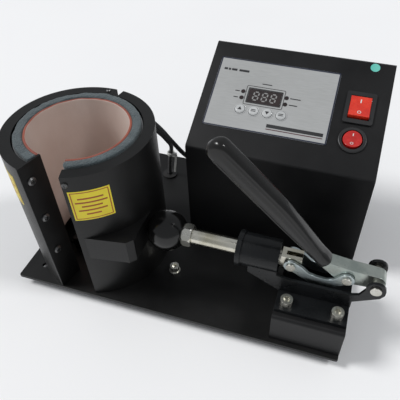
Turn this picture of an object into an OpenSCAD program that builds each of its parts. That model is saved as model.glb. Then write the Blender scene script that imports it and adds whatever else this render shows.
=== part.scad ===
// Mug heat press with a push-pull toggle clamp and a desk-style temperature console.
// The frame: X runs along the base plate, Y runs to the back, Z is up, feet on Z = 0.

/* [Base plate] */
// depth of the base plate
base_dep = 209; // [170:1:300]
// thickness of the base plate
plate_t = 3; // [2:0.5:6]
// height of the rubber feet
foot_h = 9; // [5:0.5:20]
// width of a rubber foot
foot_d = 20; // [12:1:30]
// spare fixing hole in the front left corner
corner_hole_d = 5; // [3:0.5:10]
// distance of that hole from both edges
corner_hole_in = 17; // [10:1:40]

/* [Console] */
// space between the heated sleeve and the console
console_gap = 11; // [4:0.5:40]
// where its front wall stands, measured from the front of the base
console_y = 106; // [90:1:150]
// height of the upright front wall
wall_h = 105; // [60:1:140]
// slope of the control panel above the horizontal
panel_slope = 27; // [15:1:40]
// sheet thickness of the console
sheet_t = 1.2; // [0.8:0.1:2]

/* [Control panel] */
// width of the overlay
overlay_w = 111.5; // [90:0.5:120]
// height of the overlay
overlay_h = 72.6; // [60:0.2:90]
// width of the display window
window_w = 30.2; // [20:0.2:40]
// height of the display window
window_h = 13.9; // [10:0.1:20]
// width of a push button
button_d = 9; // [6:0.5:11]
// distance between push buttons
button_pitch = 12.5; // [11:0.1:16]
// how far a push button moves
button_stroke = 1; // [0.5:0.1:2]
// outside width of the rectangular rocker switch
rocker_w = 25.5; // [20:0.5:30]
// outside height of the rectangular rocker switch
rocker_h = 31; // [24:0.5:40]
// outside width of the round rocker switch
round_d = 24.5; // [20:0.5:30]

/* [Heater] */
// air gap between the spring band and the outer casing
air_gap = 10.3; // [6:0.1:20]
// height of the casing above the base plate
casing_h = 140; // [100:1:180]
// radius of the opening for the mug
mug_r = 40.7; // [36:0.1:46]
// thickness of the silicone heating mat
mat_t = 2.3; // [1:0.1:4]
// thickness of the foam insulation
foam_t = 7.5; // [4:0.1:12]
// thickness of the steel spring band
band_t = 0.7; // [0.4:0.1:1.5]
// height of the lower edge of the heating ring above the plate
ring_z = 20; // [5:1:40]
// left edge of the handle slot, as an angle from the right hand side
slot_left = 254.5; // [245:0.5:262]
// right edge of the handle slot
slot_right = 286.5; // [278:0.5:295]
// angle of the line where the two halves meet at the back
seam_angle = 442; // [436:0.5:448]

/* [Toggle clamp] */
// distance of the clamp axis from the front of the base
clamp_y = 41; // [30:1:60]
// height of the clamp axis above the base plate
clamp_z = 64; // [55:1:80]
// width of the ball on the end of the plunger
ball_d = 35; // [25:1:45]
// width of the plunger
rod_d = 12.7; // [10:0.1:18]
// outside width of the barrel that guides the plunger
barrel_d = 28; // [20:1:36]
// clearance between plunger and barrel, on the radius
slide_fit = 0.05; // [0.02:0.01:0.1]
// width of the pivot pins
pin_d = 6; // [4:0.5:8]
// clearance between pivot pins and their holes, on the radius
pin_fit = 0.05; // [0.02:0.01:0.1]
// length of the mounting block
block_len = 59; // [50:1:80]
// height of the mounting block
block_h = 32.3; // [20:0.1:50]
// distance between the clamp screws along the base
screw_pitch_x = 41; // [30:1:60]
// distance between the clamp screws across the base
screw_pitch_y = 43; // [30:1:60]

/* [Hidden] */
$fn = 72;
gap = 0.3;
pz = foot_h + plate_t;
foam_in = mug_r + mat_t;
foam_r = foam_in + foam_t;
band_r = foam_r + band_t;
plate_screw_z = [casing_h - 94.5, casing_h - 55, casing_h - 15.4];
casing_r = band_r + air_gap;
hx = casing_r;
hy = casing_r;
console_x = 2 * casing_r + console_gap;
seam_r = band_r;
rest_half = mug_r - 14.7;
rest_screw = mug_r - 6.7;
hinge_x = hx + seam_r * cos(seam_angle);
hinge_y = hy + seam_r * sin(seam_angle);
ring_top = casing_h + 1.5;
overlay_u = 8.8;
rocker_u = overlay_u + overlay_w + 21.5;
round_u = rocker_u - 0.9;
console_len = rocker_u + 24.2;
base_len = console_x + console_len;
run = base_dep - console_y;
wall_top = pz + wall_h;
back_h = wall_h + run * tan(panel_slope);
ax_z = pz + clamp_z;
block_x = base_len - block_len;
block_y = clamp_y - 37;
block_dep = 71;
flange_t = 4;
flange_top = pz + block_h + flange_t;
screw_x = block_x + (block_len - screw_pitch_x) / 2;
screw_y = clamp_y - 2 - screw_pitch_y / 2;
bracket_x = casing_r - 0.8;
ball_x = hx + bracket_x + gap + ball_d / 2;
nut_x = ball_x + ball_d / 2 - 2.7;
nut_af = 17;
nut_t = 8;
rod_x = nut_x + nut_t;
clevis_x = block_x - 2;
clevis_len = 17;
clevis_w = 10.8;
barrel_x = block_x - 38;
p1x = block_x + 7;
p1z = ax_z;
p2x = block_x + 51.3;
p2z = ax_z - 0.8;
p0x = block_x + 73.5;
p0z = ax_z + 1;
link_in = 5.8;
link_t = 2.4;
wall_in = 10.2;
wall_t = 2.5;
cheek = 5.5;
hole_r = pin_d / 2 + pin_fit;
panel_len = run / cos(panel_slope);
overlay_v = 24.5;
overlay_t = 0.4;
window_u = 42.8;
window_v = 53.6;
button_u = 39.0;
button_v = 45;
rocker_v = 64.8;
round_v = 33.6;
led_u = [37.5, 37.5, 77.6, 77.6];
led_v = [63.4, 56.8, 63.4, 56.8];
origin_x = (p0x + 7.5) / 2;
origin_y = (base_dep + sheet_t + 7) / 2;

// helpers

// moves a sub-part from the corner of the base plate to the middle of the whole press
module placed()
  translate([-origin_x, -origin_y, 0])
    children();

module at_panel(u, v)
  translate([console_x + u, console_y, wall_top])
    rotate([panel_slope, 0, 0])
      translate([0, v, 0])
        children();

module rounded_box(w, h, t, r)
  linear_extrude(t) rounded_square(w, h, r);

module rounded_square(w, h, r) {
  square([w - 2 * r, h], center = true);
  square([w, h - 2 * r], center = true);
  for (sx = [-1, 1])
    for (sy = [-1, 1])
      translate([sx * (w / 2 - r), sy * (h / 2 - r)])
        circle(r, $fn = 32);
}

// a ring segment between two radii, two heights and two angles
module ring_part(r1, r2, z1, z2, a1, a2)
  translate([hx, hy, pz])
    rotate([0, 0, a1])
      rotate_extrude(angle = a2 - a1, $fn = 120)
        translate([r1, z1])
          square([r2 - r1, z2 - z1]);

// a profile drawn in X and Z, as thick as given, centred on the clamp axis
module side_plate(y1, y2)
  translate([0, clamp_y + y2, 0])
    rotate([90, 0, 0])
      linear_extrude(y2 - y1)
        children();

module y_cyl(x, z, r, y1, y2, n = 48)
  translate([x, clamp_y + y1, z])
    rotate([-90, 0, 0])
      cylinder(h = y2 - y1, r = r, $fn = n);

module x_cyl(x1, x2, r, n = 72)
  translate([x1, clamp_y, ax_z])
    rotate([0, 90, 0])
      cylinder(h = x2 - x1, r = r, $fn = n);

module hex_prism(af, h)
  cylinder(h = h, r = af / sqrt(3), $fn = 6);

module pan_head(d, h)
  difference() {
    union() {
      cylinder(h = h * 0.5, r = d / 2, $fn = 40);
      translate([0, 0, h * 0.5])
        cylinder(h = h * 0.5, r1 = d / 2, r2 = d * 0.33, $fn = 40);
    }
    for (a = [0, 90])
      rotate([0, 0, a])
        translate([-d * 0.3, -d * 0.06, h * 0.45])
          cube([d * 0.6, d * 0.12, h]);
  }

module socket_screw(d, head_d, head_h, len) {
  difference() {
    cylinder(h = head_h, r = head_d / 2, $fn = 48);
    translate([0, 0, head_h * 0.45])
      hex_prism(d * 0.83, head_h);
  }
  translate([0, 0, -len])
    cylinder(h = len, r = d / 2, $fn = 40);
}

// base

foot_at = [[26, 13], [base_len - 20, 13], [26, base_dep - 16], [base_len - 20, base_dep - 16]];

module base_plate() {
  placed() color([0.09, 0.09, 0.1])
    difference() {
      translate([0, 0, foot_h])
        linear_extrude(plate_t)
          translate([base_len / 2, base_dep / 2])
            rounded_square(base_len, base_dep, 1.5);
      translate([corner_hole_in, corner_hole_in, 0])
        cylinder(h = 40, r = corner_hole_d / 2, $fn = 40);
      for (p = foot_at)
        translate([p[0], p[1], foot_h - 1])
          cylinder(h = plate_t + 0.1, r = 2.05, $fn = 32);
      translate([console_x + 5, clamp_y + 6.5, 0])
        cylinder(h = 40, r = 2.55, $fn = 32);
      for (s = [-1, 1])
        translate([hx + s * rest_screw, hy, 0])
          cylinder(h = 40, r = 1.55, $fn = 32);
      translate([83, 176, 0])
        cylinder(h = 40, r = 6.05, $fn = 40);
    }
}

module rubber_feet() {
  placed() color([0.06, 0.06, 0.06])
    for (p = foot_at)
      translate([p[0], p[1], 0])
        difference() {
          union() {
            cylinder(h = 3, r1 = foot_d / 2 - 2, r2 = foot_d / 2 - 0.8);
            translate([0, 0, 3])
              cylinder(h = foot_h - 3, r1 = foot_d / 2 - 0.8, r2 = foot_d / 2);
          }
          translate([0, 0, -1])
            cylinder(h = 5, r = 4.2, $fn = 40);
          cylinder(h = 40, r = 2.05, $fn = 32);
        }
}

module foot_screws() {
  placed() color([0.7, 0.7, 0.72])
    for (p = foot_at)
      translate([p[0], p[1], 4]) {
        cylinder(h = foot_h + plate_t - 5, r = 2, $fn = 32);
        mirror([0, 0, 1])
          pan_head(7.6, 2.4);
      }
}

module plate_screw() {
  placed() color([0.75, 0.75, 0.74])
    translate([console_x + 5, clamp_y + 6.5, pz]) {
      cylinder(h = 1.2, r = 5.2, $fn = 40);
      translate([0, 0, 1.2])
        socket_screw(5, 8.5, 6, 8.6);
      translate([0, 0, -plate_t - 4])
        hex_prism(8, 4);
    }
}

// console

module console_side(inset) {
  polygon([
    [inset, 0],
    [run - inset, 0],
    [run - inset, wall_h - inset / cos(panel_slope) + (run - inset) * tan(panel_slope) - 1.5],
    [run - inset - 2.2, wall_h - inset / cos(panel_slope) + (run - inset - 2.2) * tan(panel_slope)],
    [inset + 1.2, wall_h - inset / cos(panel_slope) + (inset + 1.2) * tan(panel_slope)],
    [inset, wall_h - inset / cos(panel_slope) + inset * tan(panel_slope) - 1.4]
  ]);
}

module console_solid(inset, x1, x2)
  translate([x1, console_y, pz])
    rotate([90, 0, 90])
      linear_extrude(x2 - x1)
        console_side(inset);

module console_shell() {
  placed() color([0.08, 0.08, 0.09])
    difference() {
      console_solid(0, console_x, base_len);
      difference() {
        console_solid(sheet_t, console_x + sheet_t, base_len - sheet_t);
        translate([console_x, console_y, pz])
          cube([14, run, sheet_t]);
        translate([base_len - 14, console_y, pz])
          cube([14, run, sheet_t]);
      }
      // back opening, closed by the back cover
      translate([console_x + 16, base_dep - 5, pz + 16])
        cube([console_len - 32, 10, back_h - 50]);
      for (p = back_screw_at)
        translate([p[0], base_dep - 5, p[1]])
          rotate([-90, 0, 0])
            cylinder(h = 10, r = 1.55, $fn = 32);
      at_panel(window_u + window_w / 2, window_v + window_h / 2)
        translate([-window_w / 2, -window_h / 2, -5])
          cube([window_w, window_h, 10]);
      for (i = [0:3])
        at_panel(button_u + i * button_pitch, button_v)
          translate([0, 0, -5])
            cylinder(h = 10, r = button_d / 2 + gap, $fn = 40);
      for (i = [0:3])
        at_panel(led_u[i], led_v[i])
          translate([0, 0, -5])
            cylinder(h = 10, r = 1.55, $fn = 32);
      at_panel(rocker_u, rocker_v)
        translate([-rocker_w / 2 + 1.5, -rocker_h / 2 + 1.5, -5])
          cube([rocker_w - 3, rocker_h - 3, 10]);
      at_panel(round_u, round_v)
        translate([0, 0, -5])
          cylinder(h = 10, r = round_d / 2 - 2, $fn = 60);
      // lead hole in the left side
      translate([console_x - 2, 150, pz + 48])
        rotate([0, 90, 0])
          cylinder(h = 6, r = 5.05, $fn = 40);
    }
}

back_screw_at = [
  [console_x + 10, pz + 10],
  [base_len - 10, pz + 10],
  [console_x + 10, pz + back_h - 24],
  [base_len - 10, pz + back_h - 24]
];

module console_back() {
  placed() color([0.1, 0.1, 0.11])
    difference() {
      translate([console_x + 3, base_dep, pz + 3])
        cube([console_len - 6, sheet_t, back_h - 18]);
      for (i = [0:8])
        translate([console_x + 30 + i * 7, base_dep - 1, pz + back_h - 56])
          cube([3, 4, 26]);
      translate([base_len - 62, base_dep - 1, pz + 22])
        cube([27.4, 4, 19.8]);
      translate([console_x + 48, base_dep - 1, pz + 32])
        rotate([-90, 0, 0])
          cylinder(h = 4, r = 6.05, $fn = 40);
      for (p = back_screw_at)
        translate([p[0], base_dep - 1, p[1]])
          rotate([-90, 0, 0])
            cylinder(h = 4, r = 1.55, $fn = 32);
    }
}

module back_screws() {
  placed() color([0.72, 0.72, 0.73])
    for (p = back_screw_at)
      translate([p[0], base_dep + sheet_t, p[1]])
        rotate([-90, 0, 0])
          union() {
            pan_head(6, 2.2);
            translate([0, 0, -7])
              cylinder(h = 7.1, r = 1.5, $fn = 32);
          }
}

module power_inlet() {
  placed() color([0.05, 0.05, 0.05])
    difference() {
      union() {
        translate([base_len - 66, base_dep + sheet_t, pz + 19])
          cube([35.4, 2.5, 25.8]);
        translate([base_len - 61.8, base_dep - 16, pz + 22.2])
          cube([27, 18, 19.4]);
      }
      translate([base_len - 59.8, base_dep - 13, pz + 24.2])
        cube([23, 20, 15.4]);
    }
  placed() color([0.8, 0.8, 0.78])
    for (i = [-1, 0, 1])
      translate([base_len - 48.3 + i * 7 - 1, base_dep - 13.5, pz + 29.9 + (i == 0 ? 3 : 0)])
        cube([2, 13, 4]);
}

module fuse_holder() {
  placed() color([0.06, 0.06, 0.06])
    translate([console_x + 48, base_dep + sheet_t, pz + 32])
      rotate([90, 0, 0]) {
        translate([0, 0, -2])
          cylinder(h = 2, r = 8, $fn = 48);
        cylinder(h = 24, r = 6, $fn = 48);
        translate([0, 0, -7])
          difference() {
            cylinder(h = 5, r = 6.5, $fn = 48);
            translate([-5, -0.6, -0.1])
              cube([10, 1.2, 1.4]);
          }
      }
}

module control_board() {
  placed() color([0.1, 0.3, 0.16])
    at_panel(overlay_u + overlay_w / 2, 58)
      translate([-overlay_w / 2 + 2, -30, -14])
        cube([overlay_w - 4, 60, 1.6]);
  placed() color([0.15, 0.15, 0.3])
    at_panel(60, 58)
      translate([14, -26, -34])
        cube([30, 24, 20]);
  placed() color([0.1, 0.1, 0.4])
    at_panel(60, 58)
      translate([-32, -24, -30])
        cube([20, 16, 16]);
  placed() color([0.15, 0.15, 0.15])
    for (i = [0:3])
      at_panel(button_u + i * button_pitch, button_v)
        translate([-3, -3, -12.4])
          cube([6, 6, 4.4]);
}

module board_spacers() {
  placed() color([0.75, 0.7, 0.4])
    for (u = [overlay_u + 6, overlay_u + overlay_w - 6])
      for (v = [32, 84])
        at_panel(u, v)
          translate([0, 0, -12.4])
            cylinder(h = 12.4 - sheet_t, r = 3, $fn = 6);
}

module display_module() {
  placed() color([0.12, 0.12, 0.12])
    at_panel(window_u + window_w / 2, window_v + window_h / 2)
      translate([-window_w / 2 - 1.5, -window_h / 2 - 1.5, -12.4])
        cube([window_w + 3, window_h + 3, 10.8]);
}

module display_window() {
  placed() color([0.2, 0.03, 0.03])
    at_panel(window_u + window_w / 2, window_v + window_h / 2)
      translate([-window_w / 2 + 0.1, -window_h / 2 + 0.1, -1.5])
        cube([window_w - 0.2, window_h - 0.2, 1.7]);
}

module panel_overlay() {
  placed() color([0.66, 0.68, 0.7])
    difference() {
      at_panel(overlay_u + overlay_w / 2, overlay_v + overlay_h / 2)
        rounded_box(overlay_w, overlay_h, overlay_t, 2.5);
      at_panel(window_u + window_w / 2, window_v + window_h / 2)
        translate([-window_w / 2, -window_h / 2, -1])
          cube([window_w, window_h, 3]);
      for (i = [0:3])
        at_panel(button_u + i * button_pitch, button_v)
          translate([0, 0, -1])
            cylinder(h = 3, r = button_d / 2 + gap, $fn = 40);
      for (i = [0:3])
        at_panel(led_u[i], led_v[i])
          translate([0, 0, -1])
            cylinder(h = 3, r = 1.55, $fn = 32);
    }
}

module indicator_leds() {
  placed() color([0.12, 0.05, 0.05])
    for (i = [0:3])
      at_panel(led_u[i], led_v[i]) {
        translate([0, 0, -6])
          cylinder(h = 6.5, r = 1.5, $fn = 32);
        translate([0, 0, -7])
          cylinder(h = 1, r = 1.9, $fn = 32);
      }
}

module button_n(i)
  placed() color([0.85, 0.86, 0.88])
    at_panel(button_u + i * button_pitch, button_v) {
      translate([0, 0, -4.6])
        cylinder(h = 5.8, r = button_d / 2, $fn = 48);
      translate([0, 0, 1.2])
        cylinder(h = 0.7, r1 = button_d / 2, r2 = button_d / 2 - 1.2, $fn = 48);
      translate([0, 0, -5.4])
        cylinder(h = 0.8, r = button_d / 2 + 0.6, $fn = 48);
      translate([0, 0, -6.6])
        cylinder(h = 1.3, r = 1.5, $fn = 32);
    }

module button_1() button_n(0);
module button_2() button_n(1);
module button_3() button_n(2);
module button_4() button_n(3);

module rocker_frame() {
  placed() color([0.06, 0.06, 0.06])
    at_panel(rocker_u, rocker_v)
      difference() {
        union() {
          rounded_box(rocker_w, rocker_h, 2, 2);
          translate([-rocker_w / 2 + 1.7, -rocker_h / 2 + 1.7, -22])
            cube([rocker_w - 3.4, rocker_h - 3.4, 22]);
        }
        translate([-paddle_w / 2 - gap, -rocker_h / 2 + 3.9, -11])
          cube([paddle_w + 2 * gap, rocker_h - 7.8, 20]);
      }
  placed() color([0.8, 0.75, 0.5])
    at_panel(rocker_u, rocker_v)
      for (s = [-1, 0, 1])
        translate([-3, s * 8 - 0.4, -29])
          cube([6, 0.8, 7]);
}

rocker_tilt = 7;
paddle_w = rocker_w - 7.5;
paddle_half = (rocker_h - 10.2) / 2;
round_half = round_d / 2 - 3.25;

// the paddle is drawn level, then tilted about its pivot into the pressed position
module rocker_profile(half, top)
  rotate(-rocker_tilt)
    polygon([
      [-half, top],
      [-half * 0.5, top - 1.1],
      [0, top - 1.5],
      [half * 0.5, top - 1.1],
      [half, top],
      [half - 0.2, -1.2],
      [3, -3.4],
      [-3, -3.4],
      [-half + 0.2, -1.2]
    ]);

module rocker_paddle() {
  placed() color([0.8, 0.06, 0.04])
    at_panel(rocker_u, rocker_v)
      translate([-paddle_w / 2, 0, -3])
        rotate([90, 0, 90])
          linear_extrude(paddle_w)
            rocker_profile(paddle_half, 6.4);
}

module round_frame() {
  placed() color([0.06, 0.06, 0.06])
    at_panel(round_u, round_v)
      difference() {
        union() {
          cylinder(h = 1.2, r = round_d / 2, $fn = 72);
          translate([0, 0, 1.2])
            cylinder(h = 0.8, r1 = round_d / 2, r2 = round_d / 2 - 1.2, $fn = 72);
          translate([0, 0, -20])
            cylinder(h = 20, r = round_d / 2 - 2.2, $fn = 72);
        }
        translate([0, 0, -10])
          cylinder(h = 20, r = round_d / 2 - 3.15, $fn = 72);
      }
  placed() color([0.8, 0.75, 0.5])
    at_panel(round_u, round_v)
      for (s = [-1, 1])
        translate([-3, s * 5 - 0.4, -27])
          cube([6, 0.8, 7]);
}

module round_paddle() {
  placed() color([0.8, 0.06, 0.04])
    at_panel(round_u, round_v)
      intersection() {
        translate([-10, 0, -3])
          rotate([90, 0, 90])
            linear_extrude(20)
              rocker_profile(round_half, 5.6);
        translate([0, 0, -3])
          rotate([-rocker_tilt, 0, 0])
            translate([0, 0, -10])
              cylinder(h = 30, r = round_d / 2 - 4.05, $fn = 72);
      }
}

module round_sticker() {
  placed() color([0.5, 0.85, 0.8])
    at_panel(rocker_u + 6.3, panel_len - 7.2)
      cylinder(h = 0.15, r = 4.2, $fn = 48);
}

// heater, fixed half

module left_casing() {
  placed() color([0.1, 0.1, 0.11]) {
    ring_part(casing_r - sheet_t, casing_r, 0, casing_h, seam_angle - 360 + 4, slot_left);
    ring_part(band_r + 0.8, casing_r - 0.4, casing_h - 1.2, casing_h, seam_angle - 360 + 4, slot_left);
    ring_part(band_r + 1, casing_r - 0.4, 0, 1.5, 110, 240);
    // turned-in end beside the seam
    ring_part(band_r + 3, casing_r - 0.4, 0, casing_h - 0.4, seam_angle - 360 + 4, seam_angle - 360 + 5.2);
  }
}

module slot_plate() {
  placed() color([0.1, 0.1, 0.11])
    translate([hx, hy, pz])
      rotate([0, 0, slot_left])
        difference() {
          translate([mug_r, 0, 0])
            cube([casing_r - mug_r + 1.2, 1.6, casing_h + 0.6]);
          for (z = plate_screw_z)
            translate([casing_r - 6.5, -1, z])
              rotate([-90, 0, 0])
                cylinder(h = 4, r = 2.05, $fn = 32);
        }
}

module slot_screws() {
  placed() color([0.72, 0.72, 0.7])
    translate([hx, hy, pz])
      rotate([0, 0, slot_left])
        for (z = plate_screw_z)
          translate([casing_r - 6.5, 1.6, z])
            rotate([-90, 0, 0]) {
              pan_head(7, 2.4);
              translate([0, 0, -1.6])
                cylinder(h = 1.7, r = 2, $fn = 32);
            }
}

module left_band() {
  placed() color([0.75, 0.76, 0.78])
    ring_part(foam_r, band_r, ring_z, casing_h - 2.5, seam_angle - 360 + 0.17, slot_left);
}

module left_foam() {
  placed() color([0.42, 0.5, 0.55])
    ring_part(foam_in, foam_r, ring_z, ring_top, seam_angle - 360 + 0.17, slot_left);
}

module left_mat() {
  placed() color([0.75, 0.45, 0.38])
    ring_part(mug_r, foam_in, ring_z - 2, ring_top - 0.6, seam_angle - 360 + 0.2, slot_left);
}

module mug_rest() {
  placed() color([0.12, 0.12, 0.12])
    difference() {
      union() {
        translate([hx - rest_half, hy - 18, pz + 14])
          cube([2 * rest_half, 36, 2]);
        for (s = [-1, 1]) {
          translate([hx + s * (rest_half - 1) - 1, hy - 18, pz])
            cube([2, 36, 16]);
          translate([hx + s * (rest_half - 1) - (s > 0 ? 0 : 13), hy - 12, pz])
            cube([13, 24, 2]);
        }
      }
      for (s = [-1, 1])
        translate([hx + s * rest_screw, hy, 0])
          cylinder(h = 30, r = 1.8, $fn = 32);
    }
}

module rest_screws() {
  placed() color([0.7, 0.7, 0.7])
    for (s = [-1, 1])
      translate([hx + s * rest_screw, hy, pz + 2]) {
        pan_head(5, 1.8);
        translate([0, 0, -4.5])
          cylinder(h = 4.6, r = 1.5, $fn = 32);
      }
}

module side_sticker() {
  placed() color([0.9, 0.86, 0.5])
    ring_part(casing_r, casing_r + 0.15, casing_h - 44, casing_h - 14, 215, 243);
}

module rim_screw() {
  placed() color([0.7, 0.7, 0.7])
    translate([hx + (casing_r - 4.5) * cos(92), hy + (casing_r - 4.5) * sin(92), pz + casing_h])
      pan_head(4, 1.3);
}

// heater, moving half

module right_casing() {
  placed() color([0.1, 0.1, 0.11]) {
    ring_part(casing_r - sheet_t, casing_r, 0.5, casing_h, slot_right - 360, seam_angle - 362);
    ring_part(band_r + 0.8, casing_r - 0.4, casing_h - 1.2, casing_h, slot_right - 360, seam_angle - 362);
    ring_part(band_r + 6.4, casing_r - 0.4, 0.5, casing_h - 0.4, slot_right - 360, slot_right - 358.8);
    ring_part(band_r + 3, casing_r - 0.4, 0.5, casing_h - 0.4, seam_angle - 363.2, seam_angle - 362);
  }
}

module push_bracket() {
  placed() color([0.1, 0.1, 0.11])
    translate([0, 0, pz])
      difference() {
        union() {
          translate([0, 0, clamp_z - 14])
            linear_extrude(25)
              difference() {
                polygon([
                  [hx + 0.36 * casing_r, hy - casing_r + 4.1],
                  [hx + bracket_x - 4.7, hy - casing_r + 9],
                  [hx + bracket_x, hy - casing_r + 14],
                  [hx + bracket_x, hy - 4],
                  [hx + 0.33 * casing_r, hy - 4]
                ]);
                polygon([
                  [hx + 0.29 * casing_r, hy - casing_r + 5.6],
                  [hx + bracket_x - 5.5, hy - casing_r + 10.9],
                  [hx + bracket_x - 2, hy - casing_r + 14.8],
                  [hx + bracket_x - 2, hy + 4],
                  [hx + 0.16 * casing_r, hy + 4]
                ]);
              }
          translate([0, 0, clamp_z + 9])
            linear_extrude(2)
              polygon([
                [hx + 0.36 * casing_r, hy - casing_r + 4.1],
                [hx + bracket_x - 4.7, hy - casing_r + 9],
                [hx + bracket_x, hy - casing_r + 14],
                [hx + bracket_x, hy - 4],
                [hx + 0.33 * casing_r, hy - 4]
              ]);
        }
        translate([hx, hy, 0])
          cylinder(h = 200, r = casing_r, $fn = 120);
      }
}

module right_band() {
  placed() color([0.75, 0.76, 0.78]) {
    ring_part(foam_r, band_r, ring_z, casing_h - 2.5, slot_right - 360, seam_angle - 360.17);
    ring_part(foam_r + 0.2, band_r + 6, ring_z, casing_h - 2.5, slot_right - 360, slot_right - 359.2);
  }
}

module right_foam() {
  placed() color([0.42, 0.5, 0.55])
    ring_part(foam_in, foam_r, ring_z, ring_top, slot_right - 360, seam_angle - 360.17);
}

module right_mat() {
  placed() color([0.75, 0.45, 0.38])
    ring_part(mug_r, foam_in, ring_z - 2, ring_top - 0.6, slot_right - 360, seam_angle - 360.2);
}

module lip_screw() {
  placed() color([0.8, 0.8, 0.8])
    translate([hx, hy, pz + casing_h - 7])
      rotate([0, 0, slot_right + 2.6])
        translate([casing_r, 0, 0])
          rotate([0, 90, 0])
            pan_head(4.5, 1.6);
}

module front_sticker() {
  placed() color([0.95, 0.8, 0.1])
    ring_part(casing_r, casing_r + 0.15, casing_h - 44, casing_h - 14, 289, 318);
}

// toggle clamp

module clamp_block() {
  placed() color([0.09, 0.09, 0.1])
    difference() {
      translate([block_x, block_y, pz])
        rotate([90, 0, 90])
          linear_extrude(block_len)
            union() {
              square([block_dep, block_h - 3]);
              translate([3, 0])
                square([block_dep - 6, block_h]);
              for (y = [3, block_dep - 3])
                translate([y, block_h - 3])
                  circle(3, $fn = 40);
            }
      translate([block_x + 3, block_y + 3, pz - 1])
        cube([block_len - 6, block_dep - 6, block_h - 2]);
      for (i = [0, 1])
        for (j = [0, 1])
          translate([screw_x + i * screw_pitch_x, screw_y + j * screw_pitch_y, pz + 10])
            cylinder(h = 60, r = 3.05, $fn = 40);
    }
}

module frame_wall()
  difference() {
    union() {
      polygon([
        [barrel_x + 11, ax_z - 13],
        [block_x, flange_top - 0.2],
        [base_len, flange_top - 0.2],
        [base_len, flange_top + 8],
        [p0x + 4.6, p0z - 9],
        [p0x + 7.5, p0z - 4],
        [p0x + 7.5, p0z],
        [p0x - 6.6, p0z - 1],
        [p0x - 11, ax_z - 9.5],
        [p0x - 17, ax_z - 11.8],
        [p1x + 2, ax_z - 11.8],
        [clevis_x - 1, ax_z - 9.5],
        [clevis_x - 1, ax_z + 4],
        [barrel_x + 11, ax_z + 4]
      ]);
      translate([p0x, p0z])
        circle(7.5, $fn = 60);
    }
    translate([p0x, p0z])
      circle(hole_r, $fn = 48);
  }

module clamp_frame() {
  placed() color([0.07, 0.07, 0.08])
    difference() {
      union() {
        for (s = [0, 1])
          side_plate(s == 0 ? -wall_in - wall_t : wall_in, s == 0 ? -wall_in : wall_in + wall_t)
            frame_wall();
        x_cyl(barrel_x, clevis_x - 1, barrel_d / 2);
        x_cyl(barrel_x, barrel_x + 4, barrel_d / 2 + 1.2);
        translate([block_x + 0.5, clamp_y - 31, pz + block_h])
          cube([block_len - 1, 62, flange_t]);
        translate([barrel_x + 13, clamp_y - wall_in - 0.1, ax_z - 13])
          cube([clevis_x - 14 - barrel_x, 2 * wall_in + 0.2, 8]);
      }
      x_cyl(barrel_x - 5, clevis_x + 5, rod_d / 2 + slide_fit);
      for (i = [0, 1])
        for (j = [0, 1])
          translate([screw_x + i * screw_pitch_x, screw_y + j * screw_pitch_y, pz + block_h - 2])
            cylinder(h = 10, r = 3.3, $fn = 40);
    }
}

module clamp_screws() {
  placed() color([0.78, 0.77, 0.74])
    for (i = [0, 1])
      for (j = [0, 1])
        translate([
          screw_x + i * screw_pitch_x, screw_y + j * screw_pitch_y, pz + block_h + flange_t
        ])
          socket_screw(6, 10, 6, 10);
}

module pin_with_heads(x, z, half, head) {
  y_cyl(x, z, pin_d / 2, -half, half);
  y_cyl(x, z, head, -half - 1.7, -half);
  y_cyl(x, z, head, half, half + 1.7);
}

module rear_pin() {
  placed() color([0.75, 0.75, 0.73])
    pin_with_heads(p0x, p0z, wall_in + wall_t, pin_d / 2 + 1.4);
}

module plunger_rod() {
  placed() color([0.8, 0.79, 0.74])
    difference() {
      union() {
        x_cyl(rod_x, clevis_x, rod_d / 2);
        translate([clevis_x, clamp_y - clevis_w / 2, ax_z - 7])
          cube([clevis_len, clevis_w, 14]);
        x_cyl(ball_x + 4, rod_x, 5, 40);
      }
      // flats beside the fork, where the links swing
      for (s = [-1, 1])
        translate([clevis_x - 8, clamp_y + s * (clevis_w / 2 + 5) - 5, ax_z - 20])
          cube([clevis_len + 20, 10, 40]);
      y_cyl(p1x, p1z, hole_r, -10, 10);
      translate([clevis_x + 4, clamp_y - 2, ax_z - 8])
        cube([clevis_len, 4, 16]);
    }
}

module lock_nut() {
  placed() color([0.8, 0.79, 0.74])
    translate([nut_x, clamp_y, ax_z])
      rotate([0, 90, 0])
        difference() {
          intersection() {
            rotate([0, 0, 12])
              hex_prism(nut_af, nut_t);
            union() {
              cylinder(h = nut_t / 2, r1 = nut_af / 2 + 0.3, r2 = nut_af / 2 + 2.6);
              translate([0, 0, nut_t / 2])
                cylinder(h = nut_t / 2, r1 = nut_af / 2 + 2.6, r2 = nut_af / 2 + 0.3);
            }
          }
          translate([0, 0, -1])
            cylinder(h = nut_t + 2, r = 5.02, $fn = 40);
        }
}

module ball_knob() {
  placed() color([0.05, 0.05, 0.05])
    translate([ball_x, clamp_y, ax_z])
      rotate([0, 90, 0])
        difference() {
          sphere(r = ball_d / 2, $fn = 96);
          translate([0, 0, nut_x - ball_x])
            cylinder(h = 20, r = 30);
          translate([0, 0, 4])
            cylinder(h = 30, r = 5.02, $fn = 40);
        }
}

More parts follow.
